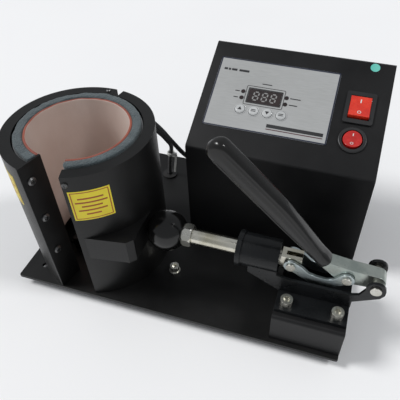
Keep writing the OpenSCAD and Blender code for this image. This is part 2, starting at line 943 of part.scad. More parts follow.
module link_shape(y1, y2)
  difference() {
    union() {
      y_cyl(p1x, p1z, 6, y1, y2);
      y_cyl(p2x, p2z, 6, y1, y2);
      side_plate(y1, y2)
        polygon([
          [p1x, p1z + 4],
          [p1x + 5, p1z + 4],
          [p1x + 9, p1z + 2],
          [p1x + 14.5, p1z - 3.4],
          [p1x + 21, p1z - 5.2],
          [p1x + 29.5, p1z - 5.6],
          [p1x + 34.5, p1z - 3.6],
          [p2x - 5, p2z + 3.2],
          [p2x, p2z + 4],
          [p2x + 1, p2z - 4.6],
          [p2x - 3, p2z - 8],
          [p1x + 35, p1z - 12.5],
          [p1x + 28, p1z - 15.4],
          [p1x + 20, p1z - 15.2],
          [p1x + 12.6, p1z - 13.4],
          [p1x + 4, p1z - 7],
          [p1x - 1, p1z - 4]
        ]);
    }
    y_cyl(p1x, p1z, hole_r, y1 - 1, y2 + 1);
    y_cyl(p2x, p2z, hole_r, y1 - 1, y2 + 1);
  }

module front_link() {
  placed() color([0.72, 0.76, 0.78])
    link_shape(-link_in - link_t, -link_in);
}

module rear_link() {
  placed() color([0.72, 0.76, 0.78])
    link_shape(link_in, link_in + link_t);
}

module link_pins() {
  placed() color([0.78, 0.78, 0.75])
    for (s = [0, 1]) {
      y_cyl(p1x, p1z, pin_d / 2, s == 0 ? -link_in - link_t : link_in, s == 0 ? -link_in : link_in + link_t);
      y_cyl(p1x, p1z, pin_d / 2 + 0.9, s == 0 ? -link_in - link_t - 1.6 : link_in + link_t,
        s == 0 ? -link_in - link_t : link_in + link_t + 1.6);
    }
}

tang_a = [p2x - 52.6, ax_z + 43.8];
tang_b = [p2x - 19.6, ax_z + 9.2];

module channel_shape(t)
  union() {
    polygon([
      [tang_b[0] + 2.6 - t, tang_b[1] + 2.5 - t * 0.4],
      [p2x + 1, p2z + 10 - t],
      [p0x, p0z + 6.8 - t],
      [p0x, p0z - 6.8],
      [p2x, p2z - 6.6],
      [p2x - 9, p2z - 3.6],
      [tang_b[0] - 2.6, tang_b[1] - 2.5]
    ]);
    translate([p0x, p0z])
      circle(6.8 - t, $fn = 48);
    if (t == 0)
      translate([p0x, p0z - 0])
        circle(6.8, $fn = 48);
  }

module tang_shape(k)
  polygon([
    [tang_a[0] - 2.6 * k, tang_a[1] - 2.5 * k],
    [tang_a[0] + 2.6 * k, tang_a[1] + 2.5 * k],
    [tang_b[0] + 2.6, tang_b[1] + 2.5],
    [tang_b[0] - 2.6, tang_b[1] - 2.5]
  ]);

module handle_channel() {
  placed() color([0.7, 0.74, 0.72])
    difference() {
      union() {
        side_plate(-cheek, cheek)
          channel_shape(0);
        side_plate(-cheek, cheek)
          tang_shape(1);
      }
      side_plate(-cheek + 2, cheek - 2)
        difference() {
          channel_shape(2.2);
          polygon([
            [tang_a[0] - 30, tang_a[1]],
            [tang_b[0] + 8, tang_b[1] + 20],
            [tang_b[0] + 2, tang_b[1] - 12],
            [tang_a[0] - 30, tang_a[1] - 60]
          ]);
        }
      // the underside is open
      side_plate(-cheek + 2, cheek - 2)
        polygon([
          [p2x - 12, p2z - 20],
          [p2x - 10, p2z + 2],
          [p0x - 4, p0z + 1],
          [p0x + 12, p0z + 1],
          [p0x + 12, p0z - 20]
        ]);
      y_cyl(p0x, p0z, hole_r, -20, 20);
      y_cyl(p2x, p2z, hole_r, -20, 20);
    }
}

module middle_pin() {
  placed() color([0.78, 0.78, 0.75])
    pin_with_heads(p2x, p2z, link_in + link_t, pin_d / 2 + 0.9);
}

grip_end = [p2x - 111.2, ax_z + 103.4];
grip_mid = [p2x - 61.3, ax_z + 54.7];
grip_w = 18.5;
grip_t = 14.5;

module grip_slice(p, w, t, h)
  translate([p[0], clamp_y, p[1]])
    rotate([0, 90 + 43.6, 0])
      translate([0, 0, -h])
        scale([w / 2, t / 2, 1])
          cylinder(h = h, r = 1, $fn = 32);

module handle_grip() {
  placed() color([0.06, 0.06, 0.06])
    difference() {
      union() {
        hull() {
          grip_slice(grip_end, 12, 9.5, 1);
          translate([4.4, 0, -4.3])
            grip_slice(grip_end, grip_w, grip_t, 1);
          grip_slice(grip_mid, grip_w, grip_t, 2);
        }
        hull() {
          grip_slice(grip_mid, grip_w, grip_t, 2);
          grip_slice(tang_b, 10.6, 12.6, 2);
        }
      }
      side_plate(-cheek, cheek)
        channel_shape(0);
      side_plate(-cheek, cheek)
        tang_shape(1);
    }
}

// heater leads

function cat(a, b, c, d, t) =
  0.5 * ((2 * b) + (c - a) * t + (2 * a - 5 * b + 4 * c - d) * t * t + (3 * b - a - 3 * c + d) * t * t * t);
function pt(p, i) = p[max(0, min(len(p) - 1, i))];
function route(p, n) = [
  for (i = [0:len(p) - 2]) for (j = [0:n - 1]) cat(pt(p, i - 1), pt(p, i), pt(p, i + 1), pt(p, i + 2), j / n),
  p[len(p) - 1]
];
function unit(v) = v / norm(v);
function tan_at(p, i) = unit(pt(p, i + 1) - pt(p, i - 1));
function side_of(t) = unit(cross(t, abs(t[2]) > 0.8 ? [1, 0.3, 0] : [0.2, 0.1, 1]));
function carry(p, i, s) = unit(s - (s * tan_at(p, i)) * tan_at(p, i));
function sides(p, i, s) = i == len(p) ? [] : concat([carry(p, i, s)], sides(p, i + 1, carry(p, i, s)));

module tube(p, r, m) {
  ss = sides(p, 0, side_of(tan_at(p, 0)));
  pts = [
    for (i = [0:len(p) - 1]) for (k = [0:m - 1])
      p[i] + r * cos(360 * k / m) * ss[i] + r * sin(360 * k / m) * cross(tan_at(p, i), ss[i])
  ];
  quads = [
    for (i = [0:len(p) - 2]) for (k = [0:m - 1])
      [i * m + k, i * m + (k + 1) % m, (i + 1) * m + (k + 1) % m, (i + 1) * m + k]
  ];
  polyhedron(
    points = pts,
    faces = concat(
      [[for (k = [0:m - 1]) m - 1 - k]],
      [for (q = quads) [q[0], q[1], q[2], q[3]]],
      [[for (k = [0:m - 1]) (len(p) - 1) * m + k]]
    )
  );
}

lead_a = [
  [76, 127.5, pz + 112], [88, 129, pz + 110], [100, 129, pz + 101],
  [110, 130, pz + 88], [119, 136, pz + 70], [126, 146, pz + 54], [131, 150, pz + 48.4], [137, 150, pz + 48]
];
lead_b = [
  [76, 127.5, pz + 104], [87, 131, pz + 101], [97, 135, pz + 90],
  [100, 143, pz + 76], [97, 156, pz + 60], [91, 168, pz + 42], [85, 175, pz + 22], [83, 176, pz + 6], [83, 176, pz - 5]
];

module lead_sleeve_a() {
  placed() color([0.06, 0.06, 0.07])
    tube(route(lead_a, 5), 2.1, 10);
}

module lead_sleeve_b() {
  placed() color([0.06, 0.06, 0.07])
    tube(route(lead_b, 5), 2.1, 10);
}

module lead_grommet() {
  placed() color([0.05, 0.05, 0.05])
    translate([83, 176, pz])
      difference() {
        union() {
          translate([0, 0, -plate_t])
            cylinder(h = plate_t, r = 6, $fn = 40);
          cylinder(h = 1.8, r = 8, $fn = 40);
          translate([0, 0, -plate_t - 1.8])
            cylinder(h = 1.8, r = 8, $fn = 40);
        }
        translate([0, 0, -10])
          cylinder(h = 20, r = 3, $fn = 40);
      }
}

module side_grommet() {
  placed() color([0.05, 0.05, 0.05])
    translate([console_x, 150, pz + 48])
      rotate([0, 90, 0])
        difference() {
          union() {
            cylinder(h = sheet_t, r = 5, $fn = 40);
            translate([0, 0, -1.6])
              cylinder(h = 1.6, r = 7, $fn = 40);
            translate([0, 0, sheet_t])
              cylinder(h = 1.6, r = 7, $fn = 40);
          }
          translate([0, 0, -10])
            cylinder(h = 20, r = 2.9, $fn = 40);
        }
}

module cable_tie() {
  placed() color([0.9, 0.9, 0.88])
    translate([89.6, 170, pz + 36]) {
      difference() {
        cylinder(h = 3, r = 4.2, $fn = 40);
        translate([0, 0, -1])
          cylinder(h = 5, r = 3.1, $fn = 40);
      }
      translate([2.6, -3.4, -0.6])
        cube([4.4, 3.4, 4.2]);
      translate([2.6, -3.2, -22])
        rotate([0, 8, 0])
          cube([2.2, 0.9, 26]);
    }
}

base_plate();
rubber_feet();
foot_screws();
plate_screw();
console_shell();
console_back();
back_screws();
power_inlet();
fuse_holder();
control_board();
board_spacers();
display_module();
display_window();
panel_overlay();
indicator_leds();
button_1();
button_2();
button_3();
button_4();
rocker_frame();
rocker_paddle();
round_frame();
round_paddle();
round_sticker();
left_casing();
slot_plate();
slot_screws();
left_band();
left_foam();
left_mat();
mug_rest();
rest_screws();
side_sticker();
rim_screw();
right_casing();
push_bracket();
right_band();
right_foam();
right_mat();
lip_screw();
front_sticker();
clamp_block();
clamp_frame();
clamp_screws();
rear_pin();
plunger_rod();
lock_nut();
ball_knob();
front_link();
rear_link();
link_pins();
handle_channel();
middle_pin();
handle_grip();
lead_sleeve_a();
lead_sleeve_b();
lead_grommet();
side_grommet();
cable_tie();
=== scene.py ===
import bpy
from math import cos, pi, radians, sin, sqrt
from mathutils import Matrix, Vector, noise


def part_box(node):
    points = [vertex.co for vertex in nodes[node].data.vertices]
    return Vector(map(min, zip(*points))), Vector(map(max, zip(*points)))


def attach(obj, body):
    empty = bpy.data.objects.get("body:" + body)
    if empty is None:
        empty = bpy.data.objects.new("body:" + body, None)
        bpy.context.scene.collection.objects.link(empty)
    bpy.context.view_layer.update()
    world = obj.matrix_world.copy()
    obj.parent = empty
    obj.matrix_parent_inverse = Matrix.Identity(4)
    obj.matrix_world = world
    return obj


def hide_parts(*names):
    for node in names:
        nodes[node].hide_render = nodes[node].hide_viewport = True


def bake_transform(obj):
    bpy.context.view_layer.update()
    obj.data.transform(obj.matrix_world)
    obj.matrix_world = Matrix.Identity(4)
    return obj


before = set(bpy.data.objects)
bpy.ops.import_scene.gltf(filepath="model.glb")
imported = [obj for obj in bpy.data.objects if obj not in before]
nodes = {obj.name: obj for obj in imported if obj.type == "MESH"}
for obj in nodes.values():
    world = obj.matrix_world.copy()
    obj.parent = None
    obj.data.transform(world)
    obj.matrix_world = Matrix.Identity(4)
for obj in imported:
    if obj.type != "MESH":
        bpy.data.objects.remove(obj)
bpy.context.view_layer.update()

# The whole press is placed from the corner of its base plate, in millimetres.
plate_lo, plate_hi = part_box("base_plate")


def at(x, y, z):
    """A point in millimetres from the base plate's front left corner, z from its top face."""
    return Vector((plate_lo.x + x / 1000, plate_lo.y + y / 1000, plate_hi.z + z / 1000))


CASING_R = 61.5
CLAMP_Y = 41

# ---------------------------------------------------------------- camera
CAM_TURN = 16.5
CAM_DOWN = 44.3
CAM_ROLL = 0.3
cam_data = bpy.data.cameras.new("camera")
cam_data.lens = 42.6
cam_data.sensor_width = 36
cam_data.shift_x = -0.070
cam_data.shift_y = 0.001
cam = bpy.data.objects.new("camera", cam_data)
bpy.context.scene.collection.objects.link(cam)
cam.matrix_world = (Matrix.Translation(at(266, -204, 364))
                    @ Matrix.Rotation(radians(CAM_TURN), 4, "Z")
                    @ Matrix.Rotation(radians(90 - CAM_DOWN), 4, "X")
                    @ Matrix.Rotation(radians(CAM_ROLL), 4, "Z"))
bpy.context.scene.camera = cam


# ---------------------------------------------------------------- materials
class Mat:
    """A small helper that wires one principled material."""

    def __init__(self, name, **sockets):
        self.mat = bpy.data.materials.new(name)
        self.mat.use_nodes = True
        self.tree = self.mat.node_tree
        self.bsdf = self.tree.nodes["Principled BSDF"]
        for key, value in sockets.items():
            self.bsdf.inputs[key.replace("_", " ")].default_value = value
        self.coords = self.tree.nodes.new("ShaderNodeTexCoord")

    def node(self, kind, **values):
        n = self.tree.nodes.new(kind)
        for key, value in values.items():
            if key.startswith("in_"):
                n.inputs[key[3:].replace("_", " ")].default_value = value
            else:
                setattr(n, key, value)
        return n

    def link(self, a, b):
        self.tree.links.new(a, b)

    def scaled(self, sx, sy, sz):
        m = self.node("ShaderNodeMapping")
        m.inputs["Scale"].default_value = (sx, sy, sz)
        self.link(self.coords.outputs["Object"], m.inputs["Vector"])
        return m.outputs["Vector"]

    def noise(self, scale, detail=3.0, rough=0.55, vector=None):
        n = self.node("ShaderNodeTexNoise", in_Scale=scale, in_Detail=detail, in_Roughness=rough)
        self.link(vector if vector is not None else self.coords.outputs["Object"], n.inputs["Vector"])
        return n.outputs["Fac"]

    def cells(self, scale):
        n = self.node("ShaderNodeTexVoronoi", in_Scale=scale, feature="F1")
        self.link(self.coords.outputs["Object"], n.inputs["Vector"])
        return n.outputs["Distance"]

    def ramp(self, fac, stops):
        r = self.node("ShaderNodeValToRGB")
        while len(r.color_ramp.elements) < len(stops):
            r.color_ramp.elements.new(0.5)
        for e, (pos, col) in zip(r.color_ramp.elements, stops):
            e.position = pos
            e.color = (*col, 1.0) if isinstance(col, tuple) else (col, col, col, 1.0)
        self.link(fac, r.inputs["Fac"])
        return r.outputs["Color"]

    def mix(self, fac, a, b):
        m = self.node("ShaderNodeMix", data_type="RGBA")
        for value, socket in ((fac, m.inputs["Factor"]), (a, m.inputs["A"]), (b, m.inputs["B"])):
            if isinstance(value, tuple):
                socket.default_value = (*value, 1.0)
            elif isinstance(value, (int, float)):
                socket.default_value = value
            else:
                self.link(value, socket)
        return m.outputs["Result"]

    def math(self, op, a, b=0.0, c=0.0):
        m = self.node("ShaderNodeMath", operation=op)
        for i, value in enumerate((a, b, c)):
            if isinstance(value, (int, float)):
                m.inputs[i].default_value = value
            else:
                self.link(value, m.inputs[i])
        return m.outputs["Value"]

    def color(self, socket):
        self.link(socket, self.bsdf.inputs["Base Color"])

    def rough(self, fac, low, high):
        m = self.node("ShaderNodeMapRange", in_To_Min=low, in_To_Max=high,
                      in_From_Min=0.25, in_From_Max=0.75)
        self.link(fac, m.inputs["Value"])
        self.link(m.outputs["Result"], self.bsdf.inputs["Roughness"])

    def bump(self, heights):
        """heights: (socket, strength, distance in metres), chained."""
        last = None
        for socket, strength, distance in heights:
            b = self.node("ShaderNodeBump", in_Strength=strength, in_Distance=distance)
            self.link(socket, b.inputs["Height"])
            if last is not None:
                self.link(last, b.inputs["Normal"])
            last = b.outputs["Normal"]
        self.link(last, self.bsdf.inputs["Normal"])


def powder_coat(name, dark, light, gloss=0.42, grain=1500, lumps=0.5):
    m = Mat(name, Specular_IOR_Level=0.3)
    fine = m.noise(grain, 2.0, 0.6)
    broad = m.noise(14, 4.0, 0.6)
    dust = m.noise(170, 5.0, 0.7)
    tone = m.ramp(broad, [(0.3, dark), (0.75, light)])
    pale = tuple(min(1, c * 3 + 0.02) for c in light)
    dusty = m.mix(m.ramp(dust, [(0.66, 0.0), (0.8, 0.22)]), tone, pale)
    m.color(dusty)
    m.rough(broad, gloss - 0.07, gloss + 0.1)
    m.bump([(fine, lumps, 0.00025), (m.noise(320, 2.0), 0.12, 0.0006)])
    return m.mat


def plated(name, tint, shade, low=0.2, high=0.42, brush=(1, 1, 1)):
    m = Mat(name, Metallic=1.0)
    drawn = m.noise(900, 3.0, 0.6, m.scaled(*brush))
    cloud = m.noise(55, 4.0, 0.6)
    stain = m.ramp(cloud, [(0.35, tint), (0.68, shade)])
    spots = m.ramp(m.noise(420, 2.0), [(0.62, 0.0), (0.74, 0.35)])
    m.color(m.mix(spots, stain, tuple(c * 0.55 for c in shade)))
    m.rough(m.mix(0.5, drawn, cloud), low, high)
    m.bump([(drawn, 0.25, 0.00015)])
    return m.mat


def moulded(name, dark, light, gloss=0.4, grain=1800, strength=0.25, **sockets):
    m = Mat(name, **sockets)
    fine = m.noise(grain, 2.0)
    broad = m.noise(30, 3.0)
    m.color(m.ramp(broad, [(0.3, dark), (0.72, light)]))
    m.rough(broad, gloss - 0.05, gloss + 0.1)
    m.bump([(fine, strength, 0.0001)])
    return m.mat


M = {}
M["coat"] = powder_coat("black_coat", (0.0035, 0.0035, 0.004), (0.009, 0.009, 0.0095))
M["casing"] = powder_coat("casing_coat", (0.004, 0.004, 0.004), (0.011, 0.011, 0.011),
                          gloss=0.34, grain=1100)
M["cast"] = powder_coat("cast_coat", (0.004, 0.0045, 0.005), (0.010, 0.011, 0.012),
                        gloss=0.24, grain=520, lumps=0.8)
M["plate"] = powder_coat("plate_coat", (0.004, 0.004, 0.004), (0.012, 0.012, 0.012), gloss=0.42)
M["rubber"] = moulded("black_rubber", (0.010, 0.010, 0.010), (0.022, 0.021, 0.020), 0.5, 900, 0.4)
M["ball"] = moulded("ball_rubber", (0.003, 0.003, 0.003), (0.008, 0.0075, 0.007), 0.2, 700, 0.25)
M["plastic"] = moulded("black_plastic", (0.010, 0.010, 0.011), (0.020, 0.020, 0.021), 0.33)
M["zinc"] = plated("zinc", (0.66, 0.65, 0.60), (0.50, 0.49, 0.42))
M["dark_zinc"] = plated("dark_zinc", (0.20, 0.20, 0.20), (0.12, 0.12, 0.12), 0.28, 0.45)
M["rod"] = plated("drawn_rod", (0.74, 0.72, 0.64), (0.52, 0.49, 0.38), 0.16, 0.34, (0.05, 1, 1))
M["link"] = plated("blue_zinc", (0.60, 0.66, 0.66), (0.40, 0.48, 0.50), 0.22, 0.40, (0.3, 1, 1))
M["channel"] = plated("olive_zinc", (0.56, 0.60, 0.55), (0.36, 0.41, 0.38), 0.25, 0.42, (0.3, 1, 1))
M["band"] = plated("spring_steel", (0.46, 0.46, 0.46), (0.34, 0.34, 0.34), 0.25, 0.4, (1, 1, 0.05))
M["brass"] = plated("brass", (0.78, 0.58, 0.26), (0.60, 0.42, 0.16))
M["white"] = moulded("white_nylon", (0.66, 0.66, 0.63), (0.80, 0.80, 0.77), 0.35)
M["ink"] = moulded("black_ink", (0.012, 0.012, 0.014), (0.022, 0.022, 0.024), 0.5)
M["red_ink"] = moulded("dark_red_ink", (0.055, 0.008, 0.012), (0.09, 0.014, 0.02), 0.5)
M["label_ink"] = moulded("red_brown_ink", (0.30, 0.06, 0.01), (0.42, 0.09, 0.015), 0.5)
M["chalk"] = moulded("white_ink", (0.62, 0.60, 0.58), (0.80, 0.78, 0.76), 0.45)
M["segment"] = moulded("unlit_segment", (0.20, 0.20, 0.20), (0.30, 0.30, 0.29), 0.4)
M["board"] = moulded("circuit_board", (0.01, 0.07, 0.03), (0.02, 0.13, 0.05), 0.35)
M["blue_ink"] = moulded("blue_black_film", (0.012, 0.016, 0.034), (0.022, 0.027, 0.050), 0.3)


def red_switch(name, deep, bright):
    m = Mat(name, Coat_Weight=0.6, Coat_Roughness=0.08, Subsurface_Weight=0.15, Subsurface_Scale=0.002)
    cloud = m.noise(120, 3.0)
    m.color(m.ramp(cloud, [(0.3, deep), (0.7, bright)]))
    m.rough(cloud, 0.2, 0.32)
    m.bump([(m.noise(1500, 2.0), 0.12, 0.0001)])
    return m.mat


M["red"] = red_switch("red_rocker", (0.62, 0.020, 0.008), (0.80, 0.045, 0.015))
M["red_round"] = red_switch("red_round_rocker", (0.42, 0.010, 0.008), (0.60, 0.020, 0.014))


def overlay_film():
    m = Mat("silver_overlay", Specular_IOR_Level=0.45)
    grain = m.noise(2600, 3.0, 0.6, m.scaled(0.04, 1, 1))
    broad = m.noise(9, 3.0)
    base = m.ramp(broad, [(0.3, (0.34, 0.345, 0.34)), (0.7, (0.42, 0.425, 0.425))])
    m.color(m.mix(m.ramp(grain, [(0.35, 0.0), (0.7, 0.35)]), base, (0.52, 0.53, 0.53)))
    m.rough(grain, 0.3, 0.48)
    m.bump([(grain, 0.12, 0.0001), (m.noise(60, 2.0), 0.06, 0.0008)])
    return m.mat


def sponge():
    m = Mat("blue_grey_sponge", Sheen_Weight=0.25, Sheen_Roughness=0.6)
    pores = m.cells(1500)
    holes = m.cells(620)
    cloud = m.noise(60, 4.0, 0.6)
    tone = m.ramp(cloud, [(0.3, (0.040, 0.060, 0.068)), (0.72, (0.085, 0.115, 0.125))])
    # the pores are painted darker than the foam: painted shade inside the holes
    m.color(m.mix(m.ramp(pores, [(0.1, 0.55), (0.5, 0.0)]), tone, (0.018, 0.026, 0.030)))
    m.rough(cloud, 0.78, 0.95)
    m.bump([(pores, 0.9, 0.0006), (holes, 0.5, 0.0010)])
    return m.mat


def heating_mat():
    """Red brown silicone, with a pale woven lining on the face that meets the mug."""
    m = Mat("silicone_mat", Sheen_Weight=0.1)
    centre = (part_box("left_casing")[0].x + CASING_R / 1000, plate_lo.y + CASING_R / 1000, 0.0)
    geo = m.node("ShaderNodeNewGeometry")
    away = m.node("ShaderNodeVectorMath", operation="SUBTRACT")
    m.link(m.coords.outputs["Object"], away.inputs[0])
    away.inputs[1].default_value = centre
    flat = m.node("ShaderNodeVectorMath", operation="MULTIPLY")
    m.link(away.outputs["Vector"], flat.inputs[0])
    flat.inputs[1].default_value = (1, 1, 0)
    unit = m.node("ShaderNodeVectorMath", operation="NORMALIZE")
    m.link(flat.outputs["Vector"], unit.inputs[0])
    dot = m.node("ShaderNodeVectorMath", operation="DOT_PRODUCT")
    m.link(unit.outputs["Vector"], dot.inputs[0])
    m.link(geo.outputs["Normal"], dot.inputs[1])
    inner = m.ramp(m.math("MULTIPLY", dot.outputs["Value"], -1.0), [(0.55, 0.0), (0.8, 1.0)])
    cloud = m.noise(26, 4.0, 0.6)
    stain = m.noise(28, 4.0, 0.5, m.scaled(1, 1, 0.6))
    weave_a = m.noise(1700, 2.0)
    red = m.ramp(cloud, [(0.3, (0.20, 0.045, 0.028)), (0.7, (0.33, 0.085, 0.050))])
    pale = m.ramp(stain, [(0.25, (0.56, 0.43, 0.37)), (0.5, (0.63, 0.50, 0.44)),
                          (0.8, (0.70, 0.58, 0.52))])
    m.color(m.mix(inner, red, pale))
    m.rough(cloud, 0.5, 0.7)
    m.bump([(weave_a, 0.35, 0.0002), (m.noise(90, 3.0), 0.2, 0.001)])
    return m.mat


def yellow_film():
    m = Mat("yellow_label")
    cloud = m.noise(40, 4.0, 0.6)
    m.color(m.ramp(cloud, [(0.3, (0.70, 0.56, 0.010)), (0.7, (0.84, 0.70, 0.025))]))
    m.rough(cloud, 0.3, 0.42)
    m.bump([(m.noise(300, 2.0), 0.1, 0.0002)])
    return m.mat


def vinyl():
    m = Mat("dipped_vinyl", Specular_IOR_Level=0.2, Coat_Weight=0.5, Coat_Roughness=0.06)
    cloud = m.noise(35, 3.0)
    fine = m.noise(900, 2.0, 0.5, m.scaled(1, 1, 0.4))
    m.color(m.ramp(cloud, [(0.3, (0.003, 0.003, 0.003)), (0.7, (0.007, 0.0065, 0.006))]))
    m.rough(cloud, 0.22, 0.32)
    m.bump([(fine, 0.25, 0.00012), (m.noise(120, 2.0), 0.15, 0.0008)])
    return m.mat


def braid():
    """Glass fibre sleeve: crossing strands from the tube's own u along it and v round it."""
    m = Mat("braided_sleeve", Sheen_Weight=0.2)
    sep = m.node("ShaderNodeSeparateXYZ")
    m.link(m.coords.outputs["UV"], sep.inputs["Vector"])
    along = sep.outputs["X"]
    around = sep.outputs["Y"]
    strand_pairs = 2 * pi * 6
    a = m.math("SINE", m.math("MULTIPLY", m.math("ADD", along, around), strand_pairs))
    b = m.math("SINE", m.math("MULTIPLY", m.math("SUBTRACT", along, around), strand_pairs))
    strands = m.math("MAXIMUM", a, b)
    # the strand crowns are painted lighter and the gaps between strands darker: painted shade between
    # the strands
    m.color(m.ramp(strands, [(0.1, (0.003, 0.003, 0.004)), (0.9, (0.028, 0.028, 0.031))]))
    m.rough(m.noise(400, 2.0), 0.45, 0.65)
    m.bump([(strands, 0.8, 0.0004)])
    return m.mat


def smoked():
    m = Mat("smoked_window", Coat_Weight=1.0, Coat_Roughness=0.04)
    cloud = m.noise(200, 2.0)
    m.color(m.ramp(cloud, [(0.3, (0.012, 0.006, 0.006)), (0.7, (0.024, 0.011, 0.010))]))
    m.rough(cloud, 0.1, 0.2)
    m.bump([(m.noise(80, 2.0), 0.03, 0.0005)])
    return m.mat


M["overlay"] = overlay_film()
M["sponge"] = sponge()
M["mat"] = heating_mat()
M["yellow"] = yellow_film()
M["vinyl"] = vinyl()
M["braid"] = braid()
M["window"] = smoked()
M["button"] = moulded("satin_button", (0.46, 0.47, 0.47), (0.60, 0.61, 0.61), 0.3, 1800, 0.2,
                      Coat_Weight=0.3)
M["green_dot"] = moulded("green_paper", (0.10, 0.50, 0.42), (0.20, 0.64, 0.54), 0.5)
M["lamp"] = moulded("lamp_lens", (0.012, 0.006, 0.006), (0.024, 0.010, 0.010), 0.15, Coat_Weight=0.5)

LOOK = {
    "coat": ["console_shell", "console_back", "clamp_block", "mug_rest"],
    "plate": ["base_plate"],
    "casing": ["left_casing", "right_casing", "slot_plate", "push_bracket"],
    "cast": ["clamp_frame"],
    "rubber": ["rubber_feet", "lead_grommet", "side_grommet"],
    "ball": ["ball_knob"],
    "plastic": ["power_inlet", "fuse_holder", "display_module", "rocker_frame", "round_frame"],
    "zinc": ["foot_screws", "plate_screw", "back_screws", "rest_screws", "clamp_screws", "rear_pin",
             "link_pins", "middle_pin", "lock_nut"],
    "dark_zinc": ["slot_screws", "rim_screw", "lip_screw"],
    "rod": ["plunger_rod"],
    "link": ["front_link", "rear_link"],
    "channel": ["handle_channel"],
    "band": ["left_band", "right_band"],
    "brass": ["board_spacers"],
    "board": ["control_board"],
    "overlay": ["panel_overlay"],
    "window": ["display_window"],
    "button": ["button_1", "button_2", "button_3", "button_4"],
    "red": ["rocker_paddle"],
    "red_round": ["round_paddle"],
    "green_dot": ["round_sticker"],
    "yellow": ["front_sticker", "side_sticker"],
    "lamp": ["indicator_leds"],
    "white": ["cable_tie"],
    "sponge": ["left_foam", "right_foam"],
    "mat": ["left_mat", "right_mat"],
    "vinyl": ["handle_grip"],
    "braid": ["lead_sleeve_a", "lead_sleeve_b"],
}
for look, names in LOOK.items():
    for name in names:
        slots = nodes[name].material_slots
        if not slots:
            nodes[name].data.materials.append(M[look])
        for s in slots:
            s.material = M[look]

# Small rounds on the edges of the hard pieces catch the light as real ones do.
ROUNDS = {
    0.0006: ["console_shell", "clamp_block", "ball_knob", "console_back", "power_inlet", "push_bracket"],
    0.0009: ["clamp_frame"],
    0.0003: ["base_plate", "slot_plate", "handle_channel", "front_link", "rear_link", "plunger_rod",
             "mug_rest", "rocker_frame", "round_frame", "rubber_feet", "clamp_screws", "lock_nut",
             "plate_screw", "left_casing", "right_casing", "rocker_paddle", "round_paddle",
             "button_1", "button_2", "button_3", "button_4", "rear_pin", "middle_pin", "link_pins",
             "fuse_holder"],
}
for width, names in ROUNDS.items():
    for name in names:
        o = nodes[name]
        weld = o.modifiers.new("weld", "WELD")
        weld.merge_threshold = 0.000002
        flat = o.modifiers.new("flat_faces", "DECIMATE")
        flat.decimate_type = "DISSOLVE"
        flat.angle_limit = radians(0.4)
        bev = o.modifiers.new("edges", "BEVEL")
        bev.width = width
        bev.segments = 2
        bev.limit_method = "ANGLE"
        bev.angle_limit = radians(34)
        bev.harden_normals = False
        bev.use_clamp_overlap = True
        for p in o.data.polygons:
            p.use_smooth = True
        nrm = o.modifiers.new("normals", "WEIGHTED_NORMAL")
        nrm.keep_sharp = False
        nrm.weight = 60


# ---------------------------------------------------------------- mesh helpers
def piece(name, verts, faces, mat, body, smooth=True, uvs=None):
    me = bpy.data.meshes.new(name)
    me.from_pydata([tuple(v) for v in verts], [], faces)
    me.validate()
    me.update()
    if smooth:
        for p in me.polygons:
            p.use_smooth = True
    if uvs:
        layer = me.uv_layers.new(name="along")
        for loop in me.loops:
            layer.data[loop.index].uv = uvs[loop.vertex_index]
    o = bpy.data.objects.new(name, me)
    bpy.context.scene.collection.objects.link(o)
    me.materials.append(M[mat])
    if body:
        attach(o, body)
    return o


def loft(rings, closed_ends=True):
    n = len(rings[0])
    verts = [p for ring in rings for p in ring]
    faces = []
    for i in range(len(rings) - 1):
        for k in range(n):
            a, b = i * n + k, i * n + (k + 1) % n
            faces.append((a, b, b + n, a + n))
    if closed_ends:
        faces.append(tuple(reversed(range(n))))
        faces.append(tuple(range((len(rings) - 1) * n, len(rings) * n)))
    return verts, faces


# ---------------------------------------------------------------- sleeve: sponge and heating mat
# the sleeve's upright axis, and the angles of the handle slot's two sides
AX = at(CASING_R, CASING_R, 0)
SLOT_LEFT = 254.5
SLOT_RIGHT = -73.5


def lined_ring(name, r1, r2, z1, z2, a1, a2, mat, rnd, rough, seed, cad, steps=190):
    """A thick soft sheet bent round the sleeve's axis, with rounded, slightly uneven edges."""
    section = []
    corners = ((r2 - rnd, z2 - rnd, 0), (r1 + rnd, z2 - rnd, 90),
               (r1 + rnd, z1 + rnd, 180), (r2 - rnd, z1 + rnd, 270))
    for cr, cz, start in corners:
        for k in range(5):
            a = radians(start + 22.5 * k)
            section.append((cr + rnd * cos(a), cz + rnd * sin(a)))
    grid = 2.2
    full = []
    for i, (r, z) in enumerate(section):
        full.append((r, z))
        nr, nz = section[(i + 1) % len(section)]
        length = sqrt((nr - r) ** 2 + (nz - z) ** 2)
        count = int(length / grid)
        for k in range(1, count):
            f = k / count
            full.append((r + (nr - r) * f, z + (nz - z) * f))
    mid_r = (r1 + r2) / 2
    rings = []
    for i in range(steps + 1):
        t = i / steps
        a = radians(a1 + (a2 - a1) * t)
        ends = min(t, 1 - t) * radians(a2 - a1) * mid_r
        tuck = 1 - 0.5 * max(0, 1 - ends / rnd) ** 2 if ends < rnd else 1
        ring = []
        for r, z in full:
            rr = mid_r + (r - mid_r) * tuck
            p = Vector((rr * cos(a), rr * sin(a), z))
            q = p * 0.11 + Vector((seed, seed * 0.7, 0))
            d = rough * (noise.noise(q) + 0.5 * noise.noise(q * 3.1))
            top = max(0.0, (z - z2 + 3) / 3)
            rr += d * 0.6 * (1 if abs(r - mid_r) > (r2 - r1) * 0.35 else 0.3)
            rr = max(r1, min(r2, rr))
            zz = z + d * top
            ring.append(AX + Vector((rr * cos(a), rr * sin(a), zz)) / 1000)
        rings.append(ring)
    verts, faces = loft(rings)
    o = piece(name, verts, faces, mat, None)
    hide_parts(*cad)
    return o
